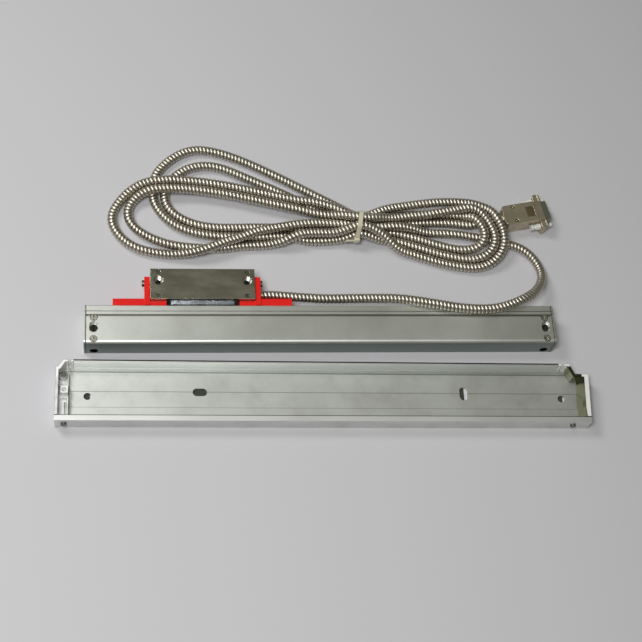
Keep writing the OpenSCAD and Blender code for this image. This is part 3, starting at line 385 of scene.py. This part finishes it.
def rounded_block(name, size, place, rounding, turn=(0, 0, 0)):
    """A block around its place, with its edges rounded over."""
    corners = [(x*size[0]/2, y*size[1]/2, z*size[2]/2)
               for x in (-1, 1) for y in (-1, 1) for z in (-1, 1)]
    sides = [(0, 1, 3, 2), (4, 6, 7, 5), (0, 4, 5, 1), (2, 3, 7, 6), (0, 2, 6, 4), (1, 5, 7, 3)]
    block = add_mesh(name, corners, sides)
    block.location = place
    block.rotation_euler = Euler([math.radians(a) for a in turn])
    edge = block.modifiers.new("rounding", "BEVEL")
    edge.width = rounding
    edge.segments = 3
    return block


def eased_edges(material, radius, samples=4):
    """A normal that is rounded over at a solid's edges."""
    return add_node(material, "Bevel", {"Radius": radius}, samples=samples).outputs["Normal"]


def bumped(material, height, strength, depth, normal):
    """A normal roughened by a height."""
    return add_node(material, "Bump", {
        "Height": height, "Strength": strength, "Distance": depth, "Normal": normal,
    }).outputs["Normal"]


def moulded(name, tint, roughness, grain):
    """Moulded plastic or rubber: an even colour with a fine grain and a slightly cloudy gloss."""
    material, shader = new_material(name)
    place = object_place(material)
    pores = noise(material, place, scale=1800.0, detail=3.0)
    cloud = noise(material, place, scale=60.0, detail=3.0)
    edges = eased_edges(material, 0.25*mm)
    set_inputs(material, shader, Base_Color=linear(tint),
               Roughness=ranged(material, cloud, roughness - 0.06, roughness + 0.06),
               Normal=bumped(material, pores, grain, 0.03*mm, edges))
    return material


strands = np.array([tie_pass[1:] for tie_pass in tie_passes])*mm
tie = tie_band("nylon_tie", strands)
nylon = moulded("natural_nylon", "#cfcbb2", 0.38, 0.2)
near_side = np.array([
    tie_far_x - tie_lean, strands[:, 0].min() - cable_d/2 - tie_t, strands[:, 1].mean()])
tie_head = rounded_block("tie_ratchet_head", tie_head_size, near_side + tie_head_offset,
                         rounding=0.8*mm)
tie_tail = rounded_block("tie_tail", tie_tail_size, near_side + tie_tail_offset,
                         rounding=0.4*mm, turn=tie_tail_turn)
for piece in (tie, tie_head, tie_tail):
    piece.data.materials.append(nylon)
    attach(piece, "head")
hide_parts("cable_tie")


# ---- Housing ----
# The scale's housing: an aluminium extrusion, satin anodised, sawn to length. Drawing through
# the die leaves faint straight lines along it. Cast caps with dark gaskets close its ends.

def tinted_where(material, tone, mask, tint):
    """The tone, changed to a tint where a mask is one."""
    return add_node(material, "Mix", {"Factor": mask, "A": tone, "B": linear(tint)},
                    data_type="RGBA").outputs["Result"]


def both(material, a, b):
    """One where two masks are both one."""
    return add_node(material, "Math", {0: a, 1: b}, operation="MULTIPLY").outputs["Value"]


def compared(material, value, limit, operation="GREATER_THAN"):
    """One where a value is greater than a limit, or less than it."""
    return add_node(material, "Math", {0: value, 1: limit}, operation=operation).outputs["Value"]


# a face looks straight along an axis from this cosine on
straight = 0.97


def plain_normal(material):
    """The direction in which a surface looks, before any easing of its edges."""
    return add_node(material, "NewGeometry").outputs["Normal"]


def painted_light_along_seams(material, tone, painted_bands, origin=(0, 0, 0), turn=0.0):
    """Painted light and shade in bands that run with the part. Each band has its place across
    the part, half its width, the height it starts at and its tint."""
    square_on = add_node(material, "Mapping", {
        "Vector": object_place(material), "Location": origin,
        "Rotation": (0, 0, math.radians(turn))}, vector_type="TEXTURE")
    spot = add_node(material, "SeparateXYZ", {"Vector": square_on.outputs["Vector"]})
    for across, half_width, height, tint in painted_bands:
        beside = add_node(material, "Math", {0: spot.outputs["Y"], 1: across, 2: half_width},
                          operation="COMPARE").outputs["Value"]
        above = compared(material, spot.outputs["Z"], height)
        tone = tinted_where(material, tone, both(material, beside, above), tint)
    return tone


def painted_bore_shade(material, tone, bore_x, bore_z, reach):
    """The walls of the two air inlets, drilled along Y: darkened inside by painted shade."""
    spot = add_node(material, "SeparateXYZ", {"Vector": object_place(material)})
    either_end = add_node(material, "Math", {0: spot.outputs["X"]}, operation="ABSOLUTE")
    from_axis = add_node(material, "CombineXYZ", {
        "X": either_end.outputs["Value"], "Z": spot.outputs["Z"]})
    apart = add_node(material, "VectorMath", {
        0: from_axis.outputs["Vector"], 1: (bore_x, 0, bore_z)}, operation="DISTANCE")
    inside = compared(material, apart.outputs["Value"], reach, "LESS_THAN")
    near_side = compared(material, spot.outputs["Y"], 0.0, "LESS_THAN")
    return tinted_where(material, tone, both(material, inside, near_side), "#161715")


def satin_anodised(name, tint, roughness, lines, stains=0.0, shaded_side_tint=None, painted_bands=(),
                   origin=(0, 0, 0), turn=0.0, bores=()):
    """Anodised aluminium: an even silky grey with faint lines along X from the die. The side
    that looks towards -Y may be tinted darker as painted shade; bands along the part may carry
    painted light and shade, and the two bores painted shade."""
    material, shader = new_material(name)
    place = object_place(material)
    drawn_out = add_node(material, "Mapping", {"Vector": place, "Scale": (4.0, 900.0, 900.0)})
    streaks = noise(material, drawn_out.outputs["Vector"], scale=1.0, detail=5.0, Roughness=0.6)
    grain = noise(material, place, scale=2500.0, detail=2.0)
    cloud = noise(material, place, scale=14.0, detail=3.0)
    blots = noise(material, place, scale=45.0, detail=7.0, Roughness=0.68)
    soiled = ranged(material, blots, 0.0, stains, start=0.45)
    tone = tinted_where(material, linear(tint), soiled, "#8f8e84")
    # painted shade: the side that looks towards -Y takes a darker tint
    if shaded_side_tint:
        facing = add_node(material, "SeparateXYZ", {"Vector": plain_normal(material)})
        side = compared(material, facing.outputs["Y"], -straight, "LESS_THAN")
        tone = tinted_where(material, tone, side, shaded_side_tint)
    if painted_bands:
        tone = painted_light_along_seams(material, tone, painted_bands, origin, turn)
    if bores:
        tone = painted_bore_shade(material, tone, *bores)
    drawn = bumped(material, streaks, lines, 0.02*mm, eased_edges(material, 0.3*mm))
    set_inputs(material, shader, Base_Color=tone, Metallic=1.0,
               Roughness=ranged(material, cloud, roughness - 0.03, roughness + 0.05),
               Normal=bumped(material, grain, 0.25, 0.02*mm, drawn))
    return material


def finish_nodes(material, *names):
    """Puts a material on CAD solids whose shape is already right."""
    for name in names:
        for place in nodes[name].material_slots:
            place.material = material


housing_top = 20*mm
# an inlet's X and Z, and how far its painted shade reaches from its axis
air_inlet = (188*mm, 5.4*mm, 3.4*mm)
# painted shade in the far half of the wide groove, and along the fine line beyond it
housing_painted_shade = [(8.2*mm, 0.75*mm, housing_top - 1.2*mm, "#8b8a81"),
                 (11.7*mm, 0.35*mm, housing_top - 1.2*mm, "#8f918c")]

# the extrusion's and the caps' sides that look towards -Y carry painted shade
finish_nodes(satin_anodised("anodised_extrusion", "#dfe2dc", 0.44, 0.5, stains=0.12,
                            shaded_side_tint="#8a938f", painted_bands=housing_painted_shade, bores=air_inlet),
             "housing_extrusion")
finish_nodes(satin_anodised("cast_end_cap", "#d3d5d0", 0.42, 0.0, stains=0.2,
                            shaded_side_tint="#8a938f", bores=air_inlet),
             "end_block_left", "end_block_right")
finish_nodes(moulded("nitrile_gasket", "#22221f", 0.6, 0.3),
             "end_gasket_left", "end_gasket_right", "head_gasket")


# ---- Screws ----
# Small cross-recessed machine screws, zinc plated. The housing's are bright, with painted
# shade along their edges and recesses; those of the head, the clips and the cover are dulled
# by handling.

def near_edges(material, reach):
    """A mask that is one within reach of a solid's edges, where easing them tips the normal."""
    still_flat = 0.99
    agree = add_node(material, "VectorMath", {
        0: eased_edges(material, reach, samples=8), 1: plain_normal(material)},
        operation="DOT_PRODUCT")
    return compared(material, agree.outputs["Value"], still_flat, "LESS_THAN")


def machined_steel(name, tint, roughness, metal=1.0, edge=None):
    """Turned or rolled steel with fine scratches. Its edges may be darkened by painted shade, in a
    given width and tint."""
    material, shader = new_material(name)
    place = object_place(material)
    scratches = noise(material, place, scale=1400.0, detail=4.0, Distortion=1.5)
    stain = noise(material, place, scale=220.0, detail=4.0)
    edges = eased_edges(material, 0.18*mm)
    set_inputs(material, shader, Base_Color=linear(tint), Metallic=metal,
               Roughness=ranged(material, stain, roughness, roughness + 0.1),
               Normal=bumped(material, scratches, 0.3, 0.01*mm, edges))
    if edge:
        width, edge_shade_tint = edge
        set_inputs(material, shader, Base_Color=tinted_where(
            material, linear(tint), near_edges(material, width), edge_shade_tint))
    return material


finish_nodes(machined_steel("bright_zinc_screw", "#e6e3da", 0.3, edge=(0.6*mm, "#24221e")),
             "end_block_screws")
finish_nodes(machined_steel("dull_zinc_screw", "#77756e", 0.3), "head_lid_screws",
             "clip_screws", "cover_screws")


# ---- Scale and seals inside the housing ----
# The glass carries a fine chrome grating and stands in a soft cushion. Two rubber lips close
# the slot around the neck.

def etched_glass(name, pitch):
    """Clear glass whose face carries a chrome grating, drawn coarser than the real 20 um."""
    material, shader = new_material(name)
    # the texture repeats after this length at a scale of one
    natural_pitch = 0.314
    ruling = add_node(material, "TexWave", {
        "Vector": object_place(material), "Scale": natural_pitch/pitch}, bands_direction="X")
    lines = ranged(material, ruling.outputs["Fac"], 0.0, 1.0, start=0.45, end=0.55)
    set_inputs(material, shader, Base_Color=linear("#dfe8e4"), Roughness=0.04, IOR=1.52,
               Transmission_Weight=1.0, Metallic=lines)
    return material


finish_nodes(etched_glass("grating_glass", 0.4*mm), "glass_scale", "index_reticle")
finish_nodes(moulded("foam_cushion", "#3a3a36", 0.8, 0.6), "glass_cushion")
finish_nodes(moulded("seal_rubber", "#1b1b1a", 0.5, 0.3), "seal_lip_upper", "seal_lip_lower")


# ---- Carriage ----
# A die-cast zinc frame with ground steel rollers on pins. It holds the reticle, the lamp and
# the reader, and a spring plate couples it to the neck.

finish_nodes(satin_anodised("die_cast_zinc", "#b4b3ad", 0.45, 0.0), "carriage_frame")
finish_nodes(machined_steel("ground_steel", "#c9c9c6", 0.16), "roller_pins",
             "face_roller_left", "face_roller_right", "face_roller_middle",
             "edge_roller_left", "edge_roller_right")
finish_nodes(machined_steel("spring_steel", "#b9b7b0", 0.24), "coupling_plate")
finish_nodes(machined_steel("polished_neck", "#b9c1ca", 0.14), "neck_blade")


def circuit_board(name, tint, track_pitch):
    """Solder mask over copper: a glossy green with the tracks showing as faint raised lines."""
    material, shader = new_material(name)
    # the texture's rows are this high at a scale of one
    natural_row = 0.25
    tracks = add_node(material, "TexBrick", {
        "Vector": object_place(material), "Scale": natural_row/track_pitch, "Mortar Size": 0.03,
        "Color1": linear(tint), "Color2": linear("#1c4a2c"), "Mortar": linear("#3f7a4c")})
    raised = add_node(material, "Bump", {
        "Height": tracks.outputs["Fac"], "Strength": 0.4, "Distance": 0.04*mm})
    set_inputs(material, shader, Base_Color=tracks.outputs["Color"], Roughness=0.3,
               Normal=raised.outputs["Normal"])
    return material


finish_nodes(circuit_board("green_board", "#20502f", 0.6*mm),
             "signal_board", "reader_board", "lamp_module")
# the flat lead is coloured black as painted shade, where it shows in the gap between head and
# housing
finish_nodes(moulded("shade_black_flat_lead", "#151515", 0.35, 0.1), "signal_lead")
finish_nodes(machined_steel("brass_screw", "#b79a5c", 0.28), "signal_board_screws")


# ---- Reading head ----
# The head's body is milled aluminium with a bright satin skin. Its lid is a plain stamped
# plate whose polished face holds faint wiping marks.

def wiped_plate(name, tint, roughness):
    """Polished plate: nearly a mirror, blurred in long soft patches where it was wiped."""
    material, shader = new_material(name)
    place = object_place(material)
    stretched = add_node(material, "Mapping", {
        "Vector": place, "Scale": (22.0, 60.0, 60.0), "Rotation": (0, 0, 0.5)})
    wipes = noise(material, stretched.outputs["Vector"], scale=1.0, detail=6.0, Roughness=0.65)
    hairlines = add_node(material, "Mapping", {"Vector": place, "Scale": (60.0, 2200.0, 400.0)})
    brushed = noise(material, hairlines.outputs["Vector"], scale=1.0, detail=3.0)
    edges = eased_edges(material, 0.4*mm, samples=6)
    set_inputs(material, shader, Base_Color=linear(tint), Metallic=1.0,
               Roughness=ranged(material, wipes, roughness - 0.06, roughness + 0.1),
               Normal=bumped(material, brushed, 0.15, 0.01*mm, edges))
    return material


finish_nodes(wiped_plate("polished_lid", "#bfbcab", 0.24), "head_lid")
finish_nodes(satin_anodised("milled_head", "#d6d6d4", 0.26, 0.3), "head_case")


# ---- Shipping clips ----
# Two glossy red plastic clips hold the head for transport. Each has a foot on the housing and
# an arm along the head, with a screw through it.

finish_nodes(moulded("red_clip_plastic", "#e2211c", 0.26, 0.1), "clip_left", "clip_right")


# ---- Gland and connector ----
# The cable is clamped in a nickel-plated gland at the head, and in a ferrule at the plug. The
# plug's two cast half shells have a dull olive-grey plating; its D-shaped shell is bright tin.

def plated_casting(name, tint, roughness, peel, metal=1.0, rim_highlight_tint=None, edge=None,
                   highlight_from=None):
    """Plated die casting: a soft sheen with a slight orange peel and darker handling marks.
    Its upward rim beyond a given X and its lug beyond a given Y may carry a painted highlight,
    paler and less metallic. Its edges may be darkened by painted shade, in a given width and tint."""
    material, shader = new_material(name)
    place = object_place(material)
    skin = noise(material, place, scale=700.0, detail=2.0)
    marks = noise(material, place, scale=110.0, detail=5.0)
    handled = ranged(material, marks, 0.0, 0.5, start=0.4, end=0.75)
    tone = tinted_where(material, linear(tint), handled, "#6f6d60")
    edges = eased_edges(material, 0.6*mm, samples=6)
    set_inputs(material, shader, Base_Color=tone, Metallic=metal,
               Roughness=ranged(material, marks, roughness - 0.05, roughness + 0.08),
               Normal=bumped(material, skin, peel, 0.03*mm, edges))
    # painted highlight: the upward faces of the rim, and the lug, turn pale and less metallic
    if rim_highlight_tint:
        rim_x, lug_y = highlight_from
        facing = add_node(material, "SeparateXYZ", {"Vector": plain_normal(material)})
        spot = add_node(material, "SeparateXYZ", {"Vector": place})
        rim = both(material, compared(material, facing.outputs["Z"], straight),
                   compared(material, spot.outputs["X"], rim_x))
        ground = add_node(material, "Math", {
            0: rim, 1: compared(material, spot.outputs["Y"], lug_y)}, operation="MAXIMUM")
        bright = ground.outputs["Value"]
        tone = tinted_where(material, tone, bright, rim_highlight_tint)
        set_inputs(material, shader, Base_Color=tone,
                   Metallic=ranged(material, bright, metal, 0.15, start=0.0, end=1.0))
    # painted shade along the edges
    if edge:
        width, edge_shade_tint = edge
        set_inputs(material, shader, Base_Color=tinted_where(
            material, tone, near_edges(material, width), edge_shade_tint))
    return material


finish_nodes(plated_casting("olive_nickel", "#cfc3ab", 0.34, 0.25, metal=0.85),
             "connector_hood_lower", "connector_hood_upper")
finish_nodes(machined_steel("bright_nickel", "#d2cfc4", 0.18), "cable_gland",
             "connector_ferrule")
# the hood's screws carry painted shade along their edges
finish_nodes(machined_steel("edge_shaded_nickel", "#d2cfc4", 0.18, edge=(0.3*mm, "#2b2820")),
             "connector_hood_screws")
# the thumb screws are near white and hardly metallic as a painted highlight, with painted shade
# along their edges
finish_nodes(machined_steel("glare_white_thumb_screw", "#f4f3ee", 0.25, metal=0.2,
                            edge=(0.2*mm, "#3a372f")), "thumb_screw_far", "thumb_screw_near")

# the wide face's shallow panel was left matt; it lies in the hood's recess, its middle this far
# from the cable's entry
plug_turn = 11
plug_entry = (166*mm, 107.3*mm)
panel_size = (7.3*mm, 9.8*mm, 0.5*mm)
panel_middle = 25.25*mm
panel_height = 14.8*mm


def at_plug(along_plug, across, height):
    """A place beside the plug, measured along and across it from the cable's entry."""
    c, s = math.cos(math.radians(plug_turn)), math.sin(math.radians(plug_turn))
    return (plug_entry[0] + along_plug*c - across*s, plug_entry[1] + along_plug*s + across*c,
            height)


panel = rounded_block("hood_panel", panel_size, at_plug(panel_middle, 0, panel_height),
                      rounding=0.1*mm, turn=(0, 0, plug_turn))
panel.data.materials.append(moulded("matt_panel", "#51452e", 0.6, 0.6))
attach(panel, "head")

finish_nodes(machined_steel("tinned_shell", "#bdbbb2", 0.25), "connector_shell")
finish_nodes(moulded("black_polyester", "#1d1d1b", 0.45, 0.2), "connector_insulator")
finish_nodes(machined_steel("gold_contact", "#d6b45e", 0.2), "connector_contacts")


# ---- Cover ----
# The loose cover is a long anodised channel. A cast bracket closes each end: the left one
# shows its ribbed inside, the right one its smooth back.

cover_corner = (-218.2*mm, -80.6*mm, 0)
cover_turn = -0.8
cover_h = 15*mm
cover_hole_v = 25.5*mm
cover_slot_v = 29.6*mm

cover_painted_light = [
    # painted light on the far wall's inner face, and painted shade along its outer edge
    (50*mm, 0.1*mm, 1*mm, "#e6e9e7"),
    (51.5*mm, 0.55*mm, cover_h - 0.5*mm, "#30302c"),
    # painted shade on the far step, and more along its edge
    (48.2*mm, 1.6*mm, 1*mm, "#b9bcb8"),
    (46.6*mm, 0.3*mm, 1*mm, "#a3a6a1"),
    # a darker line through the slots, and painted shade along the near step's edge
    (cover_slot_v + 0.25*mm, 0.3*mm, 1*mm, "#b4b6b2"),
    (16*mm, 0.3*mm, 1*mm, "#a5a7a3"),
    # painted light on the near lip, brighter than the rest, and painted shade along its free edge
    (2.4*mm, 2.4*mm, cover_h - 0.4*mm, "#ecedea"),
    (4.6*mm, 0.3*mm, cover_h - 2.5*mm, "#4a4a46")]

finish_nodes(satin_anodised("anodised_channel", "#dcdedb", 0.48, 0.3, stains=0.2,
                            painted_bands=cover_painted_light, origin=cover_corner, turn=cover_turn),
             "cover_channel")
# the left bracket is pure white and not metallic, a painted reflection of the window in its
# plating, with painted shade along its edges
finish_nodes(plated_casting("glare_white_bracket", "#ffffff", 0.3, 0.1, metal=0.0,
                            edge=(0.45*mm, "#2b2b28")), "cover_bracket_left")
# painted highlight on the end wall's rim beyond this X, and on the lug's inner face just
# beyond this Y
right_highlight_from = (214.6*mm, -36.8*mm)
# the right bracket's dark olive tint is a painted reflection of the dark room in its chrome
finish_nodes(plated_casting("dark_reflection_bracket", "#66684f", 0.22, 0.1, rim_highlight_tint="#fafaf6",
                            edge=(0.35*mm, "#3a3a33"), highlight_from=right_highlight_from),
             "cover_bracket_right")


def at_cover(along, across, height):
    """A place on the cover, measured from its near left bottom corner."""
    c, s = math.cos(math.radians(cover_turn)), math.sin(math.radians(cover_turn))
    return (cover_corner[0] + along*c - across*s, cover_corner[1] + along*s + across*c, height)


# dark pads put into the two holes and the two slots as painted shade, flush with the cover's
# underside: each with its place along and across the cover, and its length and width
pad_t = 0.4*mm
shade_pad_finish = moulded("painted_shade_pad", "#3b3c38", 0.9, 0.8)
for name, pad_u, pad_v, pad_l, pad_w in (
        ("hole_pad_left", 23.8*mm, cover_hole_v, 6*mm, 6.4*mm),
        ("hole_pad_right", 414.9*mm, cover_hole_v + 1*mm, 6*mm, 6.4*mm),
        ("slot_pad_left", 114.7*mm, cover_slot_v, 12*mm, 7*mm),
        ("slot_pad_right", 330.6*mm, cover_slot_v, 6*mm, 12*mm)):
    pad = rounded_block(name, (pad_l, pad_w, pad_t), at_cover(pad_u, pad_v, pad_t/2),
                        rounding=0.1*mm, turn=(0, 0, cover_turn))
    pad.data.materials.append(shade_pad_finish)
    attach(pad, "cover")


# ---- Floor and light ----
# A plain pale bench under two soft lamps, one like a window far to the left and one overhead
# on the near left, in a dim olive room.

floor_size = 6.0
# the bench lies this far below whatever stands on it
floor_gap = 0.2*mm
floor = add_mesh("bench", [
    (-floor_size/2, -floor_size/2, 0), (floor_size/2, -floor_size/2, 0),
    (floor_size/2, floor_size/2, 0), (-floor_size/2, floor_size/2, 0)], [(0, 1, 2, 3)])
floor.location.z = -floor_gap
pale, pale_shader = new_material("pale_bench")
set_inputs(pale, pale_shader, Base_Color=linear("#c9c8cc"), Roughness=0.6)
floor.data.materials.append(pale)


def soft_lamp(name, place, target, width, power):
    """A square soft box that faces a point."""
    data = bpy.data.lights.new(name, "AREA")
    data.size = width
    data.energy = power
    lamp = bpy.data.objects.new(name, data)
    lamp.location = place
    lamp.rotation_euler = (Vector(target) - Vector(place)).to_track_quat("-Z", "Y").to_euler()
    bpy.context.scene.collection.objects.link(lamp)


soft_lamp("window", (-0.85, 0.6, 1.25), (-0.1, 0, 0), 0.5, 8)
soft_lamp("overhead", (-0.45, -0.5, 1.5), (-0.1, 0, 0), 0.5, 15)
world = bpy.data.worlds.new("studio")
world.use_nodes = True
world.node_tree.nodes["Background"].inputs["Color"].default_value = linear("#66665c")
world.node_tree.nodes["Background"].inputs["Strength"].default_value = 1.0
bpy.context.scene.world = world
bpy.context.scene.view_settings.view_transform = "Standard"
